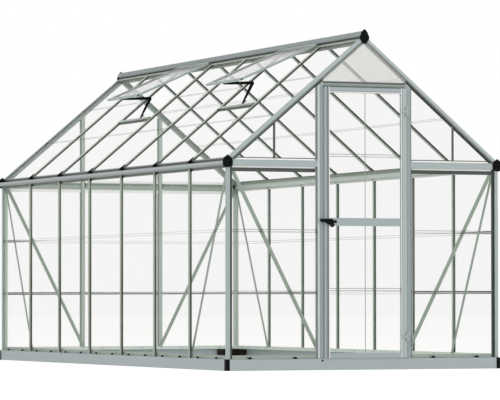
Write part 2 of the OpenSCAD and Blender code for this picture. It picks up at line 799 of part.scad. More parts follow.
module wall_joiners_gable() {
    gable_end = half_w - corner_leg - sheet_clear;
    rear_edge = rear_post_w / 2 + sheet_clear;
    color(clear) {
        front_wall() for (mx = [0, 1]) mirror([mx, 0, 0])
            joiners(door_post_x + sheet_clear, gable_end);
        rear_wall() {
            joiners(-rear_post_x + rear_edge, rear_post_x - rear_edge);
            for (mx = [0, 1]) mirror([mx, 0, 0]) joiners(rear_post_x + rear_edge, gable_end);
        }
    }
}
module roof_joiner(i, s) {
    from = strip_from(i, rafter_leg);
    translate([s, from, 0]) rotate([0, -90, -90])
        linear_extrude(strip_to(i, rafter_leg) - from) joiner_section();
}
module roof_joiners() {
    color(clear) for (mx = [0, 1]) mirror([mx, 0, 0]) left_slope()
        for (i = [0:side_bays - 1], k = [0, 1])
            if (mx == 1 || k == 0 || !has_vent(i)) roof_joiner(i, roof_joints[k]);
}

// Roof vents: a framed sheet hung from the ridge, propped open by a stay on its sill.
vent_half = bay / 2 - bar_flange / 2 - 2;
vent_groove = 6;
module vent_place(i) {
    translate(vent_hinge + [0, bay_line(i) + bay / 2, 0])
        mirror([1, 0, 0]) rotate([0, vent_angle, 0]) children();
}
// A grooved bar's section, its groove facing +x.
module vent_bar_section() {
    difference() {
        rect([0, -vent_d / 2], [vent_bar, vent_d / 2]);
        rect([vent_bar - vent_groove, -sheet_t / 2 - sheet_clear],
             [vent_bar + 1, sheet_t / 2 + sheet_clear]);
        rect([bar_t, bar_t - vent_d / 2], [vent_bar - vent_groove - bar_t, vent_d / 2 - bar_t]);
    }
}
module vent_end_bars() {
    color(alu) for (i = vent_bays, end = [0, 1]) vent_place(i)
        translate([end * vent_l, 0, 0]) mirror([end, 0, 0]) along_y(2 * vent_half) vent_bar_section();
}
module vent_side_bars() {
    color(alu) for (i = vent_bays, side = [0, 1]) vent_place(i) mirror([0, side, 0])
        translate([0, -vent_half, 0]) along_u(vent_bar, vent_l - 2 * vent_bar) vent_bar_section();
}
module vent_panels() {
    start = vent_bar - vent_groove + sheet_clear;
    width = 2 * (vent_half - start);
    color(clear) for (i = vent_bays) vent_place(i) translate([start, -width / 2, -sheet_t / 2])
        cube([vent_l - 2 * start, width, sheet_t]);
}
// The sill is a bar across the bay, with a slot for the sheet below it and a bracket for the stay.
bracket_p = bar_d - bar_t;
module vent_sills() {
    span = bay - bar_flange - 2 * sheet_clear;
    grip = 8;
    color(alu) left_slope() for (i = vent_bays) translate([0, bay_line(i) + bay / 2, 0]) {
        difference() {
            translate([sill_s - grip, -span / 2, -sill_proud]) cube([sill_w, span, bar_d + sill_proud]);
            translate([sill_s - grip - 1, -span / 2 - 1, bar_t])
                cube([grip + 1 + sheet_clear, span + 2, slot_w]);
        }
        translate([sill_s, -stay_w * 2, bracket_p]) cube([stay_reach + stay_w, stay_w * 4, bar_t]);
    }
}
module vent_stays() {
    foot_x = -half_w + (sill_s + stay_reach) * cos_p;
    foot = stay_w * 0.7;
    function bracket_z(x) = roof_z(x, bracket_p);
    function rail_z_at(x) = vent_hinge[2] + (x - vent_hinge[0]) * tan(vent_angle)
        - (vent_d / 2 + sheet_clear) / cos(vent_angle);
    elbow = [foot_x + stay_lean, bracket_z(foot_x) + stay_rise];
    tip_x = vent_hinge[0] - (vent_l - vent_bar / 2) * cos(vent_angle);
    color(black) for (i = vent_bays) translate([0, bay_line(i) + bay / 2, 0]) along_y(stay_w)
        polygon([[foot_x - foot, bracket_z(foot_x - foot)], [foot_x + foot, bracket_z(foot_x + foot)],
                 elbow + [11, -5], elbow + [9, 8], elbow + [-3, 12],
                 [tip_x + 9, rail_z_at(tip_x + 9)], [tip_x - 9, rail_z_at(tip_x - 9)],
                 [tip_x - 4, rail_z_at(tip_x - 9) - 6], elbow + [-13, -9]]);
}

// Door leaf: two stiles, three rails, and sheets in their slots.
leaf_slot = 8;
leaf_sheet_v = leaf_v + leaf_t / 2 - sheet_t / 2;
leaf_slot_v = leaf_sheet_v - sheet_clear;
stile_in = leaf_w / 2 - stile_w;
mid_top = mid_rail_z + mid_rail_h;
bottom_top = leaf_z + bottom_rail_h;
top_low = leaf_top - stile_w - bar_t;
module door_stiles() {
    color(alu) front_wall() for (mx = [0, 1]) mirror([mx, 0, 0])
        translate([0, 0, leaf_z]) linear_extrude(leaf_h) difference() {
            rect([stile_in, leaf_v], [leaf_w / 2, leaf_v + leaf_t]);
            rect([stile_in - 1, leaf_slot_v],
                 [stile_in + leaf_slot, leaf_slot_v + sheet_t + 2 * sheet_clear]);
            rect([stile_in + leaf_slot + bar_t, leaf_v + bar_t],
                 [leaf_w / 2 - bar_t, leaf_v + leaf_t - bar_t]);
            translate([stile_in + stile_w * 0.5, leaf_v]) circle(flute_r);
        }
}
module leaf_rail(low, high, slots) {
    inner_low = low + (slots[0] ? leaf_slot : 0) + bar_t;
    inner_high = high - (slots[1] ? leaf_slot : 0) - bar_t;
    slot_high = leaf_slot_v + sheet_t + 2 * sheet_clear;
    along_u(-stile_in, 2 * stile_in) difference() {
        rect([leaf_v, low], [leaf_v + leaf_t, high]);
        rect([leaf_v + bar_t, inner_low], [leaf_v + leaf_t - bar_t, inner_high]);
        if (slots[0]) rect([leaf_slot_v, low - 1], [slot_high, low + leaf_slot]);
        if (slots[1]) rect([leaf_slot_v, high - leaf_slot], [slot_high, high + 1]);
    }
}
module door_rails() {
    color(alu) front_wall() {
        leaf_rail(leaf_z, bottom_top, [false, true]);
        leaf_rail(top_low, leaf_top, [true, false]);
        difference() {
            leaf_rail(mid_rail_z, mid_top, [true, true]);
            spindle_hole();
        }
    }
}
module at_spindle(v) { translate([handle_x, v, handle_z]) rotate([-90, 0, 0]) children(); }
module spindle_hole() {
    front_v = leaf_v - 1;
    at_spindle(front_v) cylinder(r = spindle_r + 0.05, h = leaf_t + 2);
}
module leaf_sheet(low, high) {
    reach = stile_in + leaf_slot - sheet_clear;
    along_u(-reach, 2 * reach) rect([leaf_sheet_v, low], [leaf_sheet_v + sheet_t, high]);
}
door_joint_low = (bottom_top + mid_rail_z) / 2;
door_joint_high = (mid_top + top_low) / 2;
module door_panels() {
    grip = leaf_slot - sheet_clear;
    color(clear) front_wall() {
        leaf_sheet(bottom_top - grip, door_joint_low - joiner_t);
        leaf_sheet(door_joint_low + joiner_t, mid_rail_z + grip);
        leaf_sheet(mid_top - grip, door_joint_high - joiner_t);
        leaf_sheet(door_joint_high + joiner_t, top_low + grip);
    }
}
module door_joiners() {
    color(clear) front_wall() for (z = [door_joint_low, door_joint_high])
        translate([0, leaf_sheet_v - sheet_v, z])
            along_u(-stile_in + sheet_clear, 2 * (stile_in - sheet_clear)) joiner_section();
}

// Hinges: the house's bracket carries the pin, the leaf's plate turns on it.
knuckle_h = hinge_h / 3;
module hinge_brackets() {
    plate_u = opening_half + 0.5;
    color(alu) front_wall() for (z = hinge_heights) translate([0, 0, z - hinge_h / 2]) {
        translate([plate_u, -3, 0]) cube([26, 3, hinge_h]);
        for (k = [0, 2]) translate([0, 0, k * knuckle_h]) {
            translate([plate_u, hinge_v, 0]) cube([5, -hinge_v, knuckle_h]);
            translate([hinge_x, hinge_v, 0]) cylinder(r = knuckle_r, h = knuckle_h);
        }
        translate([hinge_x, hinge_v, 0]) cylinder(r = pin_r, h = hinge_h);
    }
}
module door_hinges() {
    height = knuckle_h - 1;
    color(alu) front_wall() for (z = hinge_heights) translate([0, 0, z - height / 2]) difference() {
        union() {
            translate([hinge_x, hinge_v, 0]) cylinder(r = knuckle_r, h = height);
            translate([hinge_x - 30, hinge_v - 1, 0]) cube([30, leaf_v - hinge_v + 1 - bar_t, height]);
            translate([hinge_x - 30, leaf_v - bar_t, 0]) cube([26, bar_t, height]);
        }
        translate([hinge_x, hinge_v, -1]) cylinder(r = pin_r + 0.05, h = height + 2);
    }
}

// Handle: a wedge-shaped lever with a thumb knob and a padlock ring outside, a knob inside.
module lever_outline() {
    difference() {
        union() {
            polygon([[-lever_l, boss_r - lever_h], [-lever_l + lever_h / 2, boss_r],
                     [-2, boss_r], [knob_out / 2, lever_h / 2], [knob_out / 2, -boss_r / 2],
                     [0, -ring_drop], [-boss_r * 1.4, -boss_r], [-lever_l * 0.66, 0],
                     [-lever_l * 0.78, -boss_r * 0.4]]);
            rect([0, -lever_h / 3], [knob_out, lever_h / 3]);
            translate([knob_out, 0]) circle(knob_r);
            translate([0, -ring_drop]) circle(ring_r);
        }
        translate([0, -ring_drop]) circle(ring_hole);
    }
}
module door_handle() {
    plate_t = 3;
    gap = 0.5;
    lever_v = leaf_v - plate_t - gap;
    color(black) front_wall() union() {
        at_spindle(lever_v - lever_t)
            cylinder(r = spindle_r, h = lever_t + leaf_t + 2 * plate_t + gap);
        at_spindle(leaf_v - plate_t - gap) cylinder(r = boss_r - 2, h = plate_t);
        at_spindle(leaf_v + leaf_t + gap) cylinder(r = boss_r, h = 14);
        translate([handle_x, lever_v, handle_z]) rotate([90, 0, 0])
            linear_extrude(lever_t) lever_outline();
    }
}

base_rail_left();
base_rail_right();
base_rail_front();
base_rail_rear();
base_corners();
wall_track_left();
wall_track_right();
wall_track_front();
wall_track_rear();
track_clips();
corner_posts();
studs_left();
studs_right();
rear_posts();
door_posts();
door_header();
gable_rail_front();
gable_rail_rear();
gutter_left();
gutter_right();
gutter_end_caps();
rain_outlet();
rafters_front();
rafters_rear();
roof_bars_left();
roof_bars_right();
bar_end_caps();
ridge_beam();
ridge_end_caps();
braces_left();
braces_right();
braces_front();
braces_rear();
wall_panels_left();
wall_panels_right();
wall_panels_front();
wall_panels_rear();
gable_panels_front();
gable_panels_rear();
roof_panels_left();
roof_panels_right();
wall_joiners_side();
wall_joiners_gable();
roof_joiners();
vent_end_bars();
vent_side_bars();
vent_panels();
vent_sills();
vent_stays();
hinge_brackets();
door_stiles();
door_rails();
door_panels();
door_joiners();
door_hinges();
door_handle();
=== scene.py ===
import math

import bpy
import numpy as np
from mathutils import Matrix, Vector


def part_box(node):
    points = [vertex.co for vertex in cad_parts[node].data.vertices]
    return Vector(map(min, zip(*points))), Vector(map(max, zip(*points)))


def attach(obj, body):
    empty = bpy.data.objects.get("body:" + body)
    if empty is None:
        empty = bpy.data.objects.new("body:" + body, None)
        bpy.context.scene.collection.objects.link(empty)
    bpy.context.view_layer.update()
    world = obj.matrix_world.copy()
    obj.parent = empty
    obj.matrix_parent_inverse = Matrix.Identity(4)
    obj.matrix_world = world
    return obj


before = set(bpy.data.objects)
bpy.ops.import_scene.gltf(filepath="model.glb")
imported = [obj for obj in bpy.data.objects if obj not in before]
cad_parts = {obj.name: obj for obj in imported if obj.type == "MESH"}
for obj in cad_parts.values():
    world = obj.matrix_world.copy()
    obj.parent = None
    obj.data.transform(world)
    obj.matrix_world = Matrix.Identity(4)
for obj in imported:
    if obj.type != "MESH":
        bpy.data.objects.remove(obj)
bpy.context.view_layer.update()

# Main places, read off the CAD nodes in metres.
_, post_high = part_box("corner_posts")
HALF_W = float(post_high[0])
HALF_L = float(post_high[1])
BASE_H = float(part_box("base_rail_front")[1][2])
BASE_FRONT = float(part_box("base_rail_front")[0][1])
TRACK_TOP = float(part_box("wall_track_left")[1][2])
RIDGE_TOP = float(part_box("ridge_beam")[1][2])
APEX_Z = RIDGE_TOP - 0.030  # where the two roof planes meet
WALL_TOP = float(post_high[2])
PITCH = math.radians(40.05)
BAYS = 7
INSET = 0.0125  # from the corner's outside to the first bay
BAY = (2 * HALF_L - 2 * INSET) / BAYS
FRAME_D = 0.018  # depth of the bars, from their outer to their inner face
# The outer face of the gable rails, without their taller inner legs.
RAIL_LOW = float(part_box("gable_rail_front")[0][2]) + 0.033
RAIL_TOP = float(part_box("gable_rail_front")[1][2]) - 0.015
_, door_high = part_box("door_stiles")
DOOR_TOP = float(door_high[2])
HEADER_TOP = 1.783
BAR_LINES = -HALF_L + INSET + BAY * np.arange(1, BAYS)


# ---------------------------------------------------------------- materials
def linear(colour):
    """sRGB hex to a linear colour: below 0.04045 a straight line, above it the 2.4 power curve."""
    share = [int(colour[i:i + 2], 16) / 255 for i in (1, 3, 5)]
    return [c / 12.92 if c <= 0.04045 else ((c + 0.055) / 1.055) ** 2.4 for c in share] + [1.0]


def add(tree, kind, inputs=(), **settings):
    """Adds one shader node, sets its properties, and links or sets each of its inputs."""
    node = tree.nodes.new("ShaderNode" + kind)
    for name, value in settings.items():
        setattr(node, name, value)
    for name, value in dict(inputs).items():
        socket = node.inputs[name]
        if isinstance(value, bpy.types.NodeSocket):
            tree.links.new(value, socket)
        else:
            socket.default_value = value
    return node


def sum_of(tree, *terms):
    """The sum of several values: each term is a pair (value, factor)."""
    total = 0.0
    for value, factor in terms:
        total = add(tree, "Math", {0: value, 1: factor, 2: total}, operation="MULTIPLY_ADD").outputs[0]
    return total


def math_of(tree, operation, *values):
    """One value worked out from others, such as their MAXIMUM or the SIGN of a single one."""
    return add(tree, "Math", dict(enumerate(values)), operation=operation).outputs[0]


def ramp(tree, value, start, end, low=0.0, high=1.0):
    """Rises evenly from low to high while value goes from start to end, and stays level outside."""
    return add(tree, "MapRange", {"Value": value, "From Min": start, "From Max": end,
                                  "To Min": low, "To Max": high}).outputs[0]


def blend(tree, share, first, second):
    """Mixes two colours, each a hex value or a socket."""
    first = linear(first) if isinstance(first, str) else first
    second = linear(second) if isinstance(second, str) else second
    return add(tree, "Mix", {0: share, 6: first, 7: second}, data_type="RGBA").outputs[2]


def scaled(tree, tone, factor):
    """A colour made lighter or darker by a factor."""
    return add(tree, "VectorMath", {0: tone, 3: factor}, operation="SCALE").outputs[0]


def new_material(name):
    """An empty node material and its tree."""
    made = bpy.data.materials.new(name)
    made.use_nodes = True
    made.node_tree.nodes.clear()
    return made, made.node_tree


def output(tree, shader):
    """Ends a material with its shader."""
    add(tree, "OutputMaterial", {"Surface": shader})


def split(tree, vector):
    """The x, y and z of a vector."""
    return add(tree, "SeparateXYZ", {"Vector": vector}).outputs


def stretched(tree, place, along):
    """Coordinates pressed flat along the profile's length, so that noise turns into the fine lines
    that an extrusion die leaves. Slopes are first turned level by the roof's pitch."""
    turn = (0, PITCH if along == "right_slope" else -PITCH if along == "left_slope" else 0, 0)
    scale = {"x": (4, 400, 400), "y": (400, 4, 400), "z": (400, 400, 4)}.get(along, (4, 400, 400))
    turned = add(tree, "Mapping", {"Vector": place, "Rotation": turn}, vector_type="POINT")
    return add(tree, "Mapping", {"Vector": turned.outputs[0], "Scale": scale}).outputs[0]


def roof_depth(tree, x, z):
    """Metres below the nearer roof plane: (apex - z) cos p - |x| sin p."""
    wide = math_of(tree, "ABSOLUTE", x)
    return sum_of(tree, (wide, -math.sin(PITCH)), (z, -math.cos(PITCH)), (APEX_Z, math.cos(PITCH)))


def skin(tree, place, walls):
    """For the named walls, the depth in metres below the greenhouse's outer planes, and how far the
    face looks out of the building, as its most outward and its most inward share: +1 is straight
    out, -1 straight in. These are the plane's distance, and the normal's product with the plane's
    own normal; with two walls the least depth counts."""
    x, y, z = split(tree, place)
    nx, ny, nz = split(tree, add(tree, "TexCoord").outputs["Normal"])
    depths, looks = [], []
    wide = math_of(tree, "ABSOLUTE", x)
    side = math_of(tree, "SIGN", x)
    across = math_of(tree, "MULTIPLY", nx, side)
    if "side" in walls:
        depths.append(sum_of(tree, (wide, -1.0), (HALF_W, 1.0)))
        looks.append(across)
    if "gable" in walls:
        end = math_of(tree, "SIGN", y)
        depths.append(sum_of(tree, (math_of(tree, "MULTIPLY", y, end), -1.0), (HALF_L, 1.0)))
        looks.append(math_of(tree, "MULTIPLY", ny, end))
    if "roof" in walls:
        depths.append(roof_depth(tree, x, z))
        looks.append(sum_of(tree, (across, math.sin(PITCH)), (nz, math.cos(PITCH))))
    depth, out, inward = depths[0], looks[0], looks[0]
    for k in range(1, len(depths)):
        depth = math_of(tree, "MINIMUM", depth, depths[k])
        out = math_of(tree, "MAXIMUM", out, looks[k])
        inward = math_of(tree, "MINIMUM", inward, looks[k])
    return depth, out, inward


def shades(tree, spec, places):
    """A tone: one hex colour, or ("x", stops) for one that changes with x, y or z, with d, the depth
    below the outer planes, or with r, the depth below the roof plane alone, all in metres."""
    if isinstance(spec, str):
        return linear(spec)
    axis, stops = spec
    low, high = stops[0][0], stops[-1][0]
    node = add(tree, "ValToRGB", {"Fac": ramp(tree, places[axis], low, high)})
    marks = node.color_ramp.elements
    for place, _ in stops[1:-1]:
        marks.new((place - low) / (high - low))
    for mark, (_, colour) in zip(marks, stops):
        mark.color = linear(colour)
    return node.outputs["Color"]


def tones(axis, start, *stops):
    """Tones for shades: each stop is a distance from start in millimetres, and a hex colour."""
    return axis, tuple((start + distance / 1000, colour) for distance, colour in stops)


# Painted shade on the lips up to 7 mm deep, and beyond them pale green painted light from the sheets.
LIT_INSIDE = tones("d", 0, (7.0, "#5C655D"), (7.8, "#B3BFB5"))
BACK_LIGHT = 1.12  # how much the light from behind lifts the inner faces


# Anodised aluminium, extruded and satin anodised: blue-grey on its outer faces. The rest is painted light
# and shade: the inner faces are painted greener and paler for the light that comes through the sheets, and
# the slots, the lips and the flanks that lie behind them are painted dark as shade. Fine die lines run
# along each bar.
def anodised_aluminium(name, along, walls, face="#AAB4B5", inner=LIT_INSIDE, flank="#6C7569",
                       slot="#49514B"):
    made, tree = new_material(name)
    place = add(tree, "TexCoord").outputs["Object"]
    places = dict(zip("xyz", split(tree, place)))
    depth, out, inward = skin(tree, place, walls)
    places["d"] = depth
    places["r"] = roof_depth(tree, places["x"], places["z"])
    lines = stretched(tree, place, along)
    grain = add(tree, "TexNoise", {"Vector": lines, "Scale": 1.0, "Detail": 3.0}).outputs["Fac"]
    # Painted light and shade: faces that look out take the face tone, turning to the painted shade of the
    # slot tone deeper than 3.5 to 6 mm; faces that look in take the painted light of the inner tone, and
    # the rest the painted shade of the flank tone, both lifted by BACK_LIGHT.
    tone = blend(tree, ramp(tree, inward, -0.4, -0.6), shades(tree, flank, places),
                 shades(tree, inner, places))
    tone = blend(tree, ramp(tree, out, 0.4, 0.6), scaled(tree, tone, BACK_LIGHT),
                 blend(tree, ramp(tree, depth, 0.0035, 0.006), shades(tree, face, places),
                       shades(tree, slot, places)))
    tone = scaled(tree, tone, ramp(tree, grain, 0.3, 0.7, 0.94, 1.05))
    bump = add(tree, "Bump", {"Height": grain, "Strength": 0.12, "Distance": 0.0004}).outputs[0]
    output(tree, add(tree, "BsdfPrincipled", {
        "Base Color": tone, "Roughness": ramp(tree, grain, 0, 1, 0.38, 0.5), "Normal": bump,
        "Metallic": 0.3}).outputs[0])
    return made


# Galvanised and painted sheet steel: smoother than the extrusions, with a faint cloudy tone. Inside the
# fold, painted light gives a green cast from the sheets, and a painted shade line lies where the fold
# closes.
def coated_steel(name):
    made, tree = new_material(name)
    place = add(tree, "TexCoord").outputs["Object"]
    cloud = add(tree, "TexNoise", {"Vector": place, "Scale": 9.0, "Detail": 4.0}).outputs["Fac"]
    depth, _, _ = skin(tree, place, ("side", "gable"))
    # Painted light and shade inside the fold, by height: a dark shade band from 22 to 36 mm, pale green
    # light above and below.
    painted_fold_light_and_shade = shades(tree, tones("z", 0, (4, "#B4C1B7"), (18, "#B9C5BB"), (22, "#5B665F"),
                                (36, "#647068"), (41, "#C6D3C9"), (68, "#D5E1D7")),
                    dict(zip("xyz", split(tree, place))))
    tone = blend(tree, ramp(tree, depth, 0.0, 0.004), blend(tree, cloud, "#A6B0B3", "#AEB8BA"), painted_fold_light_and_shade)
    output(tree, add(tree, "BsdfPrincipled", {
        "Base Color": tone, "Roughness": ramp(tree, cloud, 0, 1, 0.36, 0.48),
        "Metallic": 0.3}).outputs[0])
    return made


# Zinc plating on screws, nuts and clips: electroplated, brighter than the bars where it is new, with
# a slight spangle.
def zinc_plate(name, colour):
    made, tree = new_material(name)
    place = add(tree, "TexCoord").outputs["Object"]
    cell = add(tree, "TexVoronoi", {"Vector": place, "Scale": 700.0}).outputs["Distance"]
    tone = scaled(tree, linear(colour)[:3], ramp(tree, cell, 0, 0.6, 0.9, 1.08))
    output(tree, add(tree, "BsdfPrincipled", {
        "Base Color": tone, "Roughness": 0.34, "Metallic": 0.55}).outputs[0])
    return made


# Extruded PVC beads and strips, grey: matt and even, with a faint mottle. In white the same finish paints a
# bright reflection, and glow adds painted light as an emission, for daylight coming through from behind.
def matt_pvc_and_painted_reflection(name, light, deep, glow=0.0):
    made, tree = new_material(name)
    place = add(tree, "TexCoord").outputs["Object"]
    cloud = add(tree, "TexNoise", {"Vector": place, "Scale": 60.0}).outputs["Fac"]
    output(tree, add(tree, "BsdfPrincipled", {
        "Base Color": blend(tree, cloud, deep, light), "Roughness": 0.6,
        "Emission Color": linear(light), "Emission Strength": glow}).outputs[0])
    return made


# Moulded black nylon: a deep charcoal with the fine grain of a spark-eroded mould.
def moulded_nylon(name):
    made, tree = new_material(name)
    place = add(tree, "TexCoord").outputs["Object"]
    grain = add(tree, "TexNoise", {"Vector": place, "Scale": 900.0, "Detail": 2.0}).outputs["Fac"]
    bump = add(tree, "Bump", {"Height": grain, "Strength": 0.25, "Distance": 0.0003}).outputs[0]
    output(tree, add(tree, "BsdfPrincipled", {
        "Base Color": blend(tree, grain, "#07090A", "#121415"), "Roughness": 0.5,
        "Specular IOR Level": 0.06, "Normal": bump}).outputs[0])
    return made


# Clear extruded polycarbonate sheet: it takes a little of the light, so white turns to a warm grey
# where sheets overlap, and dark lines stay dark behind it. The frosted and ribbed ones look milky.
# All have the slight waviness of a sheet that is held at its edges only. veil is the share of light
# that a face stops, and frosted gives the half width of a milky middle and its share.
def polycarbonate(name, veil, tint="#5E5848", frosted=None, milky="#DADCD6"):
    made, tree = new_material(name)
    place = add(tree, "TexCoord").outputs["Object"]
    wave = add(tree, "TexNoise", {"Vector": place, "Scale": 3.0, "Detail": 1.0}).outputs["Fac"]
    bump = add(tree, "Bump", {"Height": wave, "Strength": 0.2, "Distance": 0.004}).outputs[0]
    solid = ramp(tree, wave, 0, 1, veil * 0.9, veil * 1.1)
    tone = linear(tint)
    if frosted:
        half, strength = frosted
        wide = math_of(tree, "ABSOLUTE", split(tree, place)[0])
        solid = math_of(tree, "MAXIMUM", solid, ramp(tree, wide, half, half + 0.002, strength, 0.0))
        tone = blend(tree, ramp(tree, wide, half, half + 0.002), milky, tint)
    output(tree, add(tree, "BsdfPrincipled", {
        "Base Color": tone, "Roughness": 0.08, "IOR": 1.58, "Alpha": solid,
        "Normal": bump}).outputs[0])
    return made


# Clear extruded joining strips with an H section: the middle hardly shows, and the edges, where the thin
# plates end, show as two fine grey lines, partly painted shade. They are measured from each joint's own
# line, a height on a wall or a distance down the slope. front and rear are the lines' strength, which is
# painted shade: darker where the strips lie in shade.
def joining_strip(name, joints, front, rear, slope=False):
    made, tree = new_material(name)
    place = add(tree, "TexCoord").outputs["Object"]
    x, y, level = split(tree, place)
    if slope:
        level = sum_of(tree, (math_of(tree, "ABSOLUTE", x), math.cos(PITCH)),
                       (level, -math.sin(PITCH)), (APEX_Z, math.sin(PITCH)))
    apart = [math_of(tree, "ABSOLUTE", sum_of(tree, (level, 1.0), (joint, -1.0))) for joint in joints]
    edge = ramp(tree, math_of(tree, "MINIMUM", *apart), 0.0055, 0.0065)
    cloud = add(tree, "TexNoise", {"Vector": place, "Scale": 30.0}).outputs["Fac"]
    strength = math_of(tree, "MULTIPLY", ramp(tree, y, -0.1, 0.1, front, rear),
                       ramp(tree, cloud, 0, 1, 0.9, 1.1))
    solid = sum_of(tree, (edge, strength), (0.02, 1.0))
    output(tree, add(tree, "BsdfPrincipled", {
        "Base Color": linear("#8F958C"), "Roughness": 0.2, "IOR": 1.58, "Alpha": solid}).outputs[0])
    return made


# Painted light and shade across each profile. Steps in these tones paint the highlights and shadows of
# grooves and rounds of the extrusion that are too fine to model, the shade in troughs, slots and behind
# lips, white reflections, and the light that the sheets pass on.
# Gutter outer faces: darker low down, light on the lip, a dark band of painted shade above it where the
# trough lies in shadow, and light again at the top of the back wall.
GUTTER_TONES = tones("z", WALL_TOP, (-16, "#AEB8AC"), (-11, "#7F897D"), (-1, "#7B857E"), (2, "#8E9797"),
                     (9, "#929C9B"), (13, "#ABB3B4"), (26.5, "#B0B8B9"), (27.5, "#4B5556"),
                     (39.5, "#5A6465"), (47.5, "#AAB1B2"))
# Gutter recesses and wall head: painted shade, darkest over the trough, light at the top edge.
HEAD_TONES = tones("z", WALL_TOP, (-16, "#AEB8AC"), (-11, "#7F897D"), (-1, "#7B857E"),
                   (27.5, "#262E2F"), (42.5, "#39423F"), (49.5, "#A2A9AA"))
# Gutter inner faces: pale painted light from the sheets, with bands of painted shade higher up, darkest at
# the top.
GUTTER_INSIDE = tones("z", WALL_TOP, (-16, "#E0E6E1"), (8, "#DFE7E1"), (20, "#D3DED5"), (27, "#C4D1C5"),
                      (34, "#98A498"), (41, "#AFBAAF"), (50, "#6E776D"))
# Rear rail inner faces: near-white painted reflections at the lower and upper edges, and a band of painted
# shade in the middle.
REAR_RAIL_INSIDE = tones("z", RAIL_LOW, (-11.5, "#F4F4F2"), (-10.5, "#A3AFA3"), (17, "#A5B1A5"),
                         (22, "#7F8B7F"), (32, "#869087"), (37, "#B4BCB4"), (40.5, "#F4F4F2"))
# Wall tracks: a painted shade line along the bottom, over the base rail, lighter above.
TRACK_TONES = tones("z", BASE_H, (0, "#5E6863"), (3, "#656F6C"), (6, "#A3AFA5"), (24, "#B1BDB3"))
# Corner posts: dark painted shade in the recesses of the front posts, pale painted light through the sheets
# in those further back.
CORNER_SLOTS = tones("y", -HALF_L, (0, "#3F4843"), (130, "#3F4843"), (230, "#B5C2B5"), (4260, "#B5C2B5"))
# Rafters: a painted highlight line about 11.5 mm down, at the flute, and painted shade darkening towards
# the inner edge.
RAFTER_FACE = tones("r", 0, (0, "#AAB4B5"), (7.5, "#ACB6B7"), (11.5, "#BCC6C7"), (15.5, "#A8B2B2"),
                    (19.5, "#88928F"), (24, "#757D7A"), (28, "#626965"))
# Rafter recesses: dark painted shade at the front, pale painted light further back.
RAFTER_SLOTS = tones("y", -HALF_L, (0, "#4A524C"), (130, "#4A524C"), (230, "#AAB5AD"), (4260, "#AAB5AD"))
# Left roof bars' flanks: light on the lip, a near-black band of painted shade from 7 to 13 mm deep, then
# grey.
LEFT_BAR_FLANK = tones("d", 0, (0, "#C4CCBE"), (6.2, "#B4BDAE"), (7.2, "#0C100D"), (12.8, "#0C100D"),
                       (13.8, "#8F948D"))
# Right roof bars: near-black painted shade near the outer face, pale painted light deeper in.
RIGHT_BAR_FLANK = tones("d", 0, (0, "#101511"), (6.2, "#101511"), (7.2, "#AEB8B0"), (16, "#C0CAC1"))
RIGHT_BAR_INSIDE = tones("d", 0, (2.5, "#1B221D"), (3.5, "#A2ACA4"), (16, "#B3BDB4"))
# Left studs' flanks: a painted reflection of the darker ground, darkest low and at mid height, lighter
# towards the top.
LEFT_STUD_FLANK = tones("z", 0, (100, "#6E7669"), (600, "#6A7266"), (900, "#8E978A"), (1250, "#A6B0A2"))
# Right studs and rear posts: painted shade on the flanks near the outer face, painted light deeper in.
RIGHT_STUD_FLANK = tones("d", 0, (0, "#4E574F"), (8.5, "#5E685F"), (9.5, "#ACB8AC"))
REAR_POST_FLANK = tones("d", 0, (0, "#6A746B"), (7.5, "#7B857C"), (8.5, "#A3AFA5"))
# Ridge: a dark band of painted shadow under the wings, 37 to 51 mm below the top, and a faint painted shade
# line near the crown.
RIDGE_TONES = tones("z", RIDGE_TOP, (-73.5, "#B4BEB5"), (-56.5, "#A8ACA3"), (-50.5, "#677067"),
                    (-45.5, "#3A433C"), (-39.5, "#4C5650"), (-36.5, "#87928C"), (-31.5, "#8E9898"),
                    (-24.5, "#98A2A3"), (-16.5, "#9DA7A8"), (-11, "#7F8889"), (0, "#98A2A3"))
# Door header: painted shade in a dark band over its top 12 mm.
HEADER_TONES = tones("z", HEADER_TOP, (-30, "#7F8988"), (-21, "#8C9793"), (-14.5, "#A0A9A4"),
                     (-11.5, "#5E665F"), (-7, "#4E564F"), (-3, "#5F645E"), (0, "#8B918B"))
# Door rails: a near-white painted highlight line 30 mm below the door's top, a band of painted shade under
# it, and painted shade along the top edge.
LEAF_RAIL_TONES = tones("z", DOOR_TOP, (-38.1, "#A6B0B1"), (-30.1, "#F4F4F2"), (-28.1, "#A2A8A9"),
                        (-23.6, "#8D9496"), (-19.1, "#ADB6B9"), (-6.1, "#A4AEB0"), (0.4, "#6B7576"))
# Door posts: a painted highlight near the left post's outer edge and a painted shade line beside it; the
# right post is painted darker towards its outer edge.
POST_TONES = tones("x", 0, (-318, "#B9C2C2"), (-312.9, "#D4DDDC"), (-306.1, "#BCC5C4"),
                   (-299.4, "#8E9E9E"), (-292.6, "#A3AEB0"), (-285.9, "#ACB4B7"), (287.2, "#B1B9BB"),
                   (294.1, "#A1A9AB"), (301, "#A7AFB1"), (307.9, "#99A3A5"), (318, "#929C9E"))
# Recesses by the door: near-white painted light that lifts the shade in the gap at the left post, and dark
# painted shade at the right post.
POST_SLOT_TONES = tones("x", 0, (-340, "#929695"), (-290, "#E6EAEA"), (290, "#E6EAEA"),
                        (312, "#454F4A"), (340, "#49534D"))
# Door stiles: the left stile painted darker towards its inner edge, near-white painted light between the
# stiles, and on the right stile a dark painted shade edge and a painted highlight.
STILE_TONES = tones("x", 0, (-278, "#A9B4B6"), (-273.7, "#A9B4B6"), (-267, "#97A1A3"),
                    (-260.2, "#838B8E"), (-254.5, "#676765"), (-251.5, "#676765"), (-250, "#E4E4E2"),
                    (248, "#F6F6F4"), (249, "#6F716E"), (252, "#828684"), (257.8, "#CAD3D2"),
                    (264.5, "#9FA9AA"), (271.3, "#B8C2C3"), (278, "#B1B9BB"))
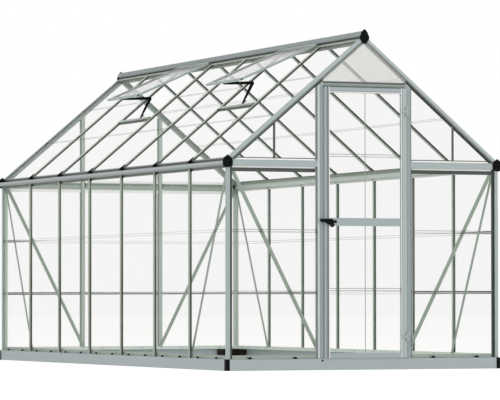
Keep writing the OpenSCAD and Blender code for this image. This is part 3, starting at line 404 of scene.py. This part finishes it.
# Each profile's tones. Beyond the face tone these are painted light and shade: slot and flank paint the
# shade on recessed and sideways faces, and inner the light from the sheets on the inner faces. The left
# bars' face is painted lighter than the right bars', as they face the light.
PROFILES = {
    "corner_posts": ("z", ("side", "gable"), {"inner": "#C6D1C7", "slot": CORNER_SLOTS,
                                              "flank": CORNER_SLOTS}),
    "left_studs": ("z", ("side",), {"face": "#AFBAAE", "flank": LEFT_STUD_FLANK}),
    "right_studs": ("z", ("side",), {"face": "#AFBAAE", "flank": RIGHT_STUD_FLANK, "inner": "#BAC6BB"}),
    "rear_posts": ("z", ("gable",), {"flank": REAR_POST_FLANK, "inner": "#B3BFB5"}),
    "door_posts": ("z", ("gable",), {"face": POST_TONES, "slot": POST_SLOT_TONES, "flank": "#9DA7A2"}),
    "header": ("x", ("gable",), {"face": HEADER_TONES, "slot": "#8E9895", "flank": "#98A297"}),
    "gable_rails": ("x", ("gable",), {"flank": "#98A297"}),
    "rear_rail": ("x", ("gable",), {"flank": "#98A297", "inner": REAR_RAIL_INSIDE}),
    "door_rails": ("x", ("gable",), {"face": LEAF_RAIL_TONES, "flank": "#98A297", "inner": "#A6B2A9"}),
    "door_stiles": ("z", ("gable",), {"face": STILE_TONES, "flank": "#A9B3B3", "inner": "#A6B2A9"}),
    "gutters": ("y", ("side",), {"face": GUTTER_TONES, "slot": HEAD_TONES, "flank": "#7B857C",
                                 "inner": GUTTER_INSIDE}),
    "rafters": ("x", ("roof", "gable"), {"face": RAFTER_FACE, "slot": RAFTER_SLOTS,
                                         "flank": RAFTER_SLOTS, "inner": "#A9B4AE"}),
    "left_bars": ("left_slope", ("roof",), {"face": "#C2CABC", "flank": LEFT_BAR_FLANK}),
    "right_bars": ("right_slope", ("roof",), {"face": "#B4BEB3", "flank": RIGHT_BAR_FLANK,
                                              "inner": RIGHT_BAR_INSIDE}),
    "ridge": ("y", ("side",), {"face": RIDGE_TONES, "flank": "#8C9698", "slot": RIDGE_TONES,
                               "inner": RIDGE_TONES}),
    "sills": ("y", ("roof",), {"face": "#B9C3B9", "slot": "#B4BFB4", "flank": "#5A635A",
                               "inner": "#A3AFA3"}),
    "vents": ("y", ("roof",), {"flank": "#A3AFAC", "slot": "#A3AFAC", "inner": "#A6B2B3"}),
    "tracks": ("x", ("side", "gable"), {"face": TRACK_TONES, "slot": "#A6B2A8", "flank": "#B4C0B6",
                                        "inner": "#D2DED4"}),
    "braces": ("x", ("side", "gable"), {"slot": "#97A699", "flank": "#8E9B8E", "inner": "#97A699"}),
}
ALU = {kind: anodised_aluminium("anodised_aluminium_" + kind, along, walls, **colours)
       for kind, (along, walls, colours) in PROFILES.items()}
STEEL = coated_steel("galvanised_steel")
ZINC = zinc_plate("zinc_plated_steel", "#B9C1C3")
CLIP = zinc_plate("dull_zinc_clip", "#7F8880")
NYLON = moulded_nylon("moulded_black_nylon")
DARK_BEAD = matt_pvc_and_painted_reflection("dark_grey_sheet_strip", "#545751", "#4C4F49")
# Painted reflection: white bands over and under the gable rails, with painted light as a glow.
REFLECTION_WHITE = matt_pvc_and_painted_reflection("white_painted_reflection", "#FBFBFA", "#F1F1EF", 0.3)
BEAD = matt_pvc_and_painted_reflection("grey_sheet_bead", "#A3A7A2", "#959A94")
WALL_JOINTS = (0.479, 0.856)
DOOR_JOINTS = (0.496, 1.325)
ROOF_JOINTS = (0.4, 0.78)
SHEET = polycarbonate("clear_polycarbonate_sheet", 0.028)
TOP_SHEET = polycarbonate("frosted_polycarbonate_sheet", 0.028, frosted=(0.281, 0.38))
VENT_SHEET = polycarbonate("ribbed_polycarbonate_sheet", 0.46, "#D3CFCE")
# Painted shade in the strips' edge lines: strongest on the front gable and the door, faint on the sides,
# the roof and the rear gable.
SIDE_STRIP = joining_strip("clear_strip_side_walls", WALL_JOINTS, 0.1, 0.12)
GABLE_STRIP = joining_strip("clear_strip_gable_walls", WALL_JOINTS, 0.6, 0.08)
DOOR_STRIP = joining_strip("clear_strip_door", DOOR_JOINTS, 0.65, 0.65)
ROOF_STRIP = joining_strip("clear_strip_roof", ROOF_JOINTS, 0.13, 0.13, True)

FINISHES = (
    (STEEL, "base_rail_left base_rail_right base_rail_front base_rail_rear"),
    (NYLON, "base_corners track_clips gutter_end_caps rain_outlet bar_end_caps ridge_end_caps "
            "vent_stays door_handle"),
    (SHEET, "wall_panels_left wall_panels_right wall_panels_front wall_panels_rear "
            "gable_panels_rear roof_panels_left roof_panels_right door_panels"),
    (TOP_SHEET, "gable_panels_front"),
    (VENT_SHEET, "vent_panels"),
    (SIDE_STRIP, "wall_joiners_side"),
    (GABLE_STRIP, "wall_joiners_gable"),
    (ROOF_STRIP, "roof_joiners"),
    (DOOR_STRIP, "door_joiners"),
    (ALU["tracks"], "wall_track_left wall_track_right wall_track_front wall_track_rear"),
    (ALU["corner_posts"], "corner_posts"),
    (ALU["left_studs"], "studs_left"),
    (ALU["right_studs"], "studs_right"),
    (ALU["rear_posts"], "rear_posts"),
    (ALU["door_posts"], "door_posts"),
    (ALU["header"], "door_header"),
    (ALU["gable_rails"], "gable_rail_front hinge_brackets door_hinges"),
    (ALU["rear_rail"], "gable_rail_rear"),
    (ALU["gutters"], "gutter_left gutter_right"),
    (ALU["rafters"], "rafters_front rafters_rear"),
    (ALU["left_bars"], "roof_bars_left"),
    (ALU["right_bars"], "roof_bars_right"),
    (ALU["ridge"], "ridge_beam"),
    (ALU["braces"], "braces_left braces_right braces_front braces_rear"),
    (ALU["vents"], "vent_end_bars vent_side_bars"),
    (ALU["sills"], "vent_sills"),
    (ALU["door_stiles"], "door_stiles"),
    (ALU["door_rails"], "door_rails"),
)
FINISH = {name: finish for finish, names in FINISHES for name in names.split()}
for name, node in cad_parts.items():
    if not node.material_slots:
        node.data.materials.append(FINISH[name])
    for held_slot in node.material_slots:
        held_slot.material = FINISH[name]


# ------------------------------------------------------------- small pieces
def surface(name, points, faces, finish, body="house"):
    """A mesh at the origin from an array of points (n, 3) and a list of faces, riding on one body."""
    mesh = bpy.data.meshes.new(name)
    mesh.from_pydata(np.round(points, 6).tolist(), [], faces)
    mesh.materials.append(finish)
    piece = bpy.data.objects.new(name, mesh)
    bpy.context.collection.objects.link(piece)
    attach(piece, body)


def ring_faces(rings, sides, copies=1):
    """Quads between neighbouring rings of `sides` points, and one face over each end, for every copy."""
    j, i, c = np.meshgrid(np.arange(rings - 1), np.arange(sides), np.arange(copies), indexing="ij")
    first = c * rings * sides + j * sides
    nxt = (i + 1) % sides
    quads = np.stack([first + i, first + nxt, first + sides + nxt, first + sides + i], -1).reshape(-1, 4)
    start = np.arange(copies)[:, None] * rings * sides
    low = start + np.arange(sides)[::-1]
    high = start + (rings - 1) * sides + np.arange(sides)
    return quads.tolist() + low.tolist() + high.tolist()


def turned(name, profile, places, axis, finish, slot, body="house", sides=10):
    """Copies of one turned shape. Ring j has radius r_j at height h_j over its place, so
    P(j, a) = place + h_j axis + r_j (cos a e1 + sin a e2), where e1 and e2 span the plane square to
    the axis. Each place may have its own axis."""
    r, h = np.array(profile, float).T
    places = np.array(places, float)
    axis = np.broadcast_to(np.array(axis, float), places.shape)
    e1 = np.cross(axis, [0.3, 0.2, 0.93])
    e1 /= np.linalg.norm(e1, axis=1, keepdims=True)
    e2 = np.cross(axis, e1)
    a = np.arange(sides) * 2 * np.pi / sides
    flat = (np.cos(a)[None, :, None] * e1[:, None, :] + np.sin(a)[None, :, None] * e2[:, None, :])
    points = (places[:, None, None, :] + h[None, :, None, None] * axis[:, None, None, :]
              + r[None, :, None, None] * flat[:, None, :, :])
    surface(name, points.reshape(-1, 3), ring_faces(len(r), sides, len(places)), finish, body)


def runs(name, section, starts, ends, finish, body="house"):
    """Straight lengths of one closed section: P(k, t) = start + section_k + t (end - start), with t
    0 and 1. The section's offsets are given square to the run, as x, y, z."""
    starts, ends, section = (np.array(v, float) for v in (starts, ends, section))
    points = np.stack([starts, ends], 1)[:, :, None, :] + section[None, None]
    surface(name, points.reshape(-1, 3), ring_faces(2, len(section), len(starts)), finish, body)


# Turned profiles, as pairs of radius and height.
WASHER_NUT = ((0.0075, 0), (0.0075, 0.0012), (0.0056, 0.0013), (0.0056, 0.0046), (0.003, 0.005),
              (0.003, 0.0078))
DOME_HEAD = ((0.0058, 0), (0.0056, 0.0014), (0.0042, 0.0028), (0.0018, 0.0034))
CLIP_NUB = ((0.0048, 0), (0.0046, 0.003), (0.003, 0.0052), (0.0012, 0.006))
BOLT_HEAD = ((0.0065, 0), (0.006, 0.0025), (0.0035, 0.004))
SIDES = (-1, 1)
GABLE_POST_X = (2 * HALF_W - 2 * INSET) / 6

# Nuts on the inner ends of the braces, two on every brace. The braces of the side walls run from the
# corner posts to the first bar, those of the gables to the door posts in front and the rear posts.
NUT_DEPTH = 0.021
BRACE_TOP_Z = WALL_TOP - 0.012
ends = [((sx * (HALF_W - NUT_DEPTH), sy * y, z), (-sx, 0, 0)) for sx in SIDES for sy in SIDES
        for y, z in ((HALF_L - 0.036, BRACE_TOP_Z), (BAR_LINES[-1], TRACK_TOP))]
ends += [((sx * x, sy * (HALF_L - NUT_DEPTH), z), (0, -sy, 0)) for sx in SIDES for sy in SIDES
         for x, z in ((HALF_W - 0.036, BRACE_TOP_Z), (0.295 if sy < 0 else 0.304, TRACK_TOP))]
turned("brace_nuts", WASHER_NUT, *zip(*ends), ZINC, "aluminium")

# Nuts where studs meet the wall heads, and screws on the rear posts and the rear rail.
turned("stud_head_nuts", WASHER_NUT,
       [(sx * (HALF_W - FRAME_D), y, WALL_TOP - 0.006) for sx in SIDES for y in BAR_LINES],
       [(-sx, 0, 0) for sx in SIDES for _ in BAR_LINES], ZINC, "aluminium")
turned("rear_post_screws", DOME_HEAD,
       [(sx * GABLE_POST_X, HALF_L - 0.016, z) for sx in SIDES for z in (1.14, 0.74, 0.35)],
       (0, -1, 0), ZINC, "aluminium")
turned("rear_rail_nuts", WASHER_NUT,
       [(x, HALF_L - FRAME_D, 1.27) for x in (-0.371, 0.054, 0.225, 0.394)],
       (0, -1, 0), ZINC, "aluminium")

# Pairs of screws that hold the wall tracks on the base rails.
PAIR_STEP = 0.31
PAIR = (-0.007, 0.007)
screw_z = TRACK_TOP - 0.012
screws = [((sx * (HALF_W - FRAME_D), y + d, screw_z), (-sx, 0, 0)) for sx in SIDES
          for y in np.arange(-1.86, 1.9, PAIR_STEP) for d in PAIR]
screws += [((x + d, HALF_L - FRAME_D, screw_z), (0, -1, 0))
           for x in np.arange(-0.775, 0.8, PAIR_STEP) for d in PAIR]
turned("track_screws", DOME_HEAD, *zip(*screws), ZINC, "aluminium", sides=8)

# White bands that paint the bright reflection seen behind the sheets, over and under the gable rails.
REFLECTION_BAND_H = 0.009
reflection_band = np.array([[0, 0.0150, 0], [0, 0.0159, 0], [0, 0.0159, REFLECTION_BAND_H], [0, 0.0150, REFLECTION_BAND_H],
                 [0, 0.0146, 0.008], [0, 0.0146, 0.001]])
corner_x = HALF_W - 0.041
for side, sign, spans in (
        ("front", -1, ((-corner_x, -0.33), (0.33, corner_x))),
        ("rear", 1, ((-corner_x, -0.335), (-0.275, 0.275), (0.335, corner_x)))):
    section = (reflection_band * (1, -sign, 1))[::-sign]
    for level, z in (("low", RAIL_LOW - REFLECTION_BAND_H), ("high", RAIL_TOP)):
        lows, highs = ([(x, sign * HALF_L, z) for x in column] for column in zip(*spans))
        runs(f"gable_reflection_band_{level}_{side}", section, lows, highs, REFLECTION_WHITE)

# Moulded clips on the roof bars, just below every joint of the roof sheets.
nubs = [(sx * t * math.cos(PITCH), y, APEX_Z - t * math.sin(PITCH)) for sx in SIDES for y in BAR_LINES
        for t in (joint + 0.036 for joint in ROOF_JOINTS)]
turned("roof_joint_clips", CLIP_NUB, nubs,
       [(math.copysign(math.sin(PITCH), nub[0]), 0, math.cos(PITCH)) for nub in nubs], CLIP,
       "aluminium", sides=8)

# Dark plugs at the stud heads, behind the sheets.
octagon = np.array([[0.0072, 0, -0.003], [0.0072, 0, 0.003], [0.009, 0, 0.005], [0.012, 0, 0.005],
                    [0.0138, 0, 0.003], [0.0138, 0, -0.003], [0.012, 0, -0.005], [0.009, 0, -0.005]])
for side, sign in (("left", -1), ("right", 1)):
    section = octagon * (-sign, 1, 1) + (sign * HALF_W, 0, WALL_TOP - 0.014)
    runs("stud_head_plugs_" + side, section[::sign], [(0, y - 0.022, 0) for y in BAR_LINES],
         [(0, y - 0.004, 0) for y in BAR_LINES], NYLON)

# Upright strips over the joints in the front gable's upper sheets, up to the rafters.
gable_face = float(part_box("gable_panels_front")[0][1])
strip = np.array([[-0.008, 0, 0], [-0.007, -0.0012, 0], [0.007, -0.0012, 0], [0.008, 0, 0]])
strip_x = 0.609
strip_top = APEX_Z - strip_x * math.tan(PITCH) - 0.028 / math.cos(PITCH)
low, high = ([(sx * strip_x, gable_face, z) for sx in SIDES] for z in (RAIL_TOP + 0.012, strip_top))
runs("gable_upright_strips", strip, low, high, DARK_BEAD)

# A half-round bead down the middle of the door's sheets, where two of them meet: one length under the
# middle rail and one above it.
sheet_face = float(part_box("door_panels")[0][1])
arc = np.linspace(0, np.pi, 7)
bead = np.stack([0.0026 * np.cos(arc), -0.0018 * np.sin(arc), 0 * arc], 1)
low, high = ([(0, sheet_face, z) for z in levels] for levels in ((0.104, 0.939), (0.888, DOOR_TOP - 0.032)))
runs("door_middle_bead", bead, low, high, BEAD, "door")

# A round-headed bolt through the base by the door.
turned("base_bolt", BOLT_HEAD, [(-0.29, BASE_FRONT, 0.059)], (0, -1, 0), NYLON, "moulded_black",
       sides=16)


# ---------------------------------------------------------------- floor, light and camera
def seen_directly(tree):
    """1 for rays from the camera and for those that a glossy or clear surface sends on, 0 for the
    rest: the sum of the three shares, cut off at 1."""
    path = add(tree, "LightPath").outputs
    return math_of(tree, "MAXIMUM", math_of(tree, "MAXIMUM", path["Is Camera Ray"],
                                            path["Is Glossy Ray"]), path["Is Transmission Ray"])


# A white background where it is seen, and a softer sky as light.
world = bpy.data.worlds.new("studio")
bpy.context.scene.world = world
world.use_nodes = True
world.node_tree.nodes.clear()
level = ramp(world.node_tree, seen_directly(world.node_tree), 0, 1, 0.62, 1.0)
sky = add(world.node_tree, "Background", {"Color": linear("#FFFFFF"), "Strength": level})
add(world.node_tree, "OutputWorld", {"Surface": sky.outputs[0]})

# Studio floor paint: matt and pale. It fades into the background where it is seen, and still catches
# and gives back soft light.
floor_paint, tree = new_material("studio_floor")
glow = math_of(tree, "MULTIPLY", seen_directly(tree), 0.55)
matt = add(tree, "BsdfDiffuse", {"Color": linear("#E4E4E2")})
lit = add(tree, "Emission", {"Color": linear("#FFFFFF"), "Strength": glow})
output(tree, add(tree, "AddShader", {0: matt.outputs[0], 1: lit.outputs[0]}).outputs[0])

FLOOR_HALF = 60.0
floor_mesh = bpy.data.meshes.new("floor")
floor_mesh.from_pydata([(sx * FLOOR_HALF, sy * FLOOR_HALF, 0)
                        for sx, sy in ((-1, -1), (1, -1), (1, 1), (-1, 1))], [], [(0, 1, 2, 3)])
floor = bpy.data.objects.new("floor", floor_mesh)
floor_mesh.materials.append(floor_paint)
bpy.context.collection.objects.link(floor)


def softbox(name, place, aim, width, power):
    """A square area lamp at place, turned so that its light falls on aim."""
    lamp = bpy.data.lights.new(name, "AREA")
    lamp.shape = "SQUARE"
    lamp.size = width
    lamp.energy = power
    held = bpy.data.objects.new(name, lamp)
    away = np.array(place, float) - np.array(aim, float)
    flat = math.hypot(away[0], away[1])
    held.rotation_euler = (math.atan2(flat, away[2]), 0, math.atan2(away[0], -away[1]))
    held.location = place
    bpy.context.collection.objects.link(held)


LIT_POINT = (0, -1, 0.8)
softbox("key", (-7.0, -9.0, 7.0), LIT_POINT, 5.0, 420)
softbox("fill", (8.0, -7.0, 4.0), LIT_POINT, 6.0, 120)

camera = bpy.data.cameras.new("camera")
camera.lens = 243.679
camera.sensor_width = 36.0
camera.clip_end = 200.0
held = bpy.data.objects.new("camera", camera)
held.location = (-8.8097, -21.1657, 0.4347)
held.rotation_euler = [math.radians(turn) for turn in (91.685, 0.0433, -22.8934)]
bpy.context.collection.objects.link(held)
bpy.context.scene.camera = held
bpy.context.scene.view_settings.view_transform = "Standard"
